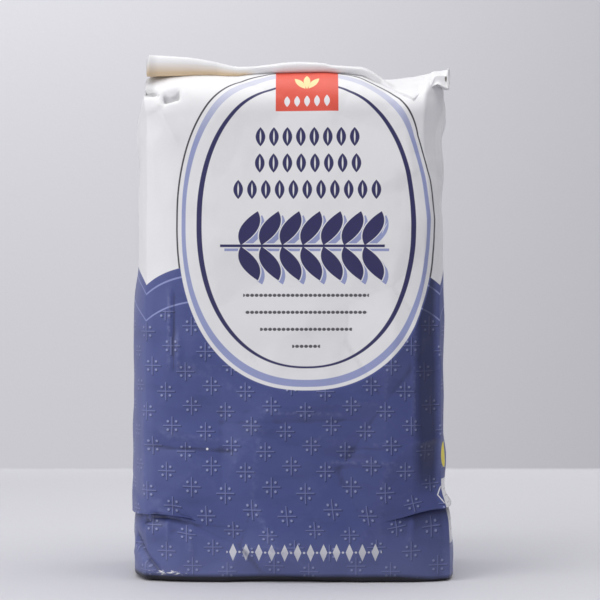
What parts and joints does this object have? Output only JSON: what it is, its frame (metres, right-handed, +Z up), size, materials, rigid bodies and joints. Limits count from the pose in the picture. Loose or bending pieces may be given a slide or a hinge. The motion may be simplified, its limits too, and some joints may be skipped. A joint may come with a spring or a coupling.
{
  "type": "bag of flour",
  "caption": "A filled paper bag of flour that stands on its folded block base, with soft creased walls, tucked gussets and a closing strip folded flat across the top",
  "frame": {"origin": "the middle of the base, on the surface that the bag stands on", "axes": "+Z is up, the printed front faces -Y, and +X is to the right when the front is looked at"},
  "size_m": [0.2002, 0.1196, 0.319],
  "materials": {
    "printed_paper": "satin"
  },
  "bodies": {
    "root": {"flour_bag": "printed_paper"}
  },
  "joints": []
}
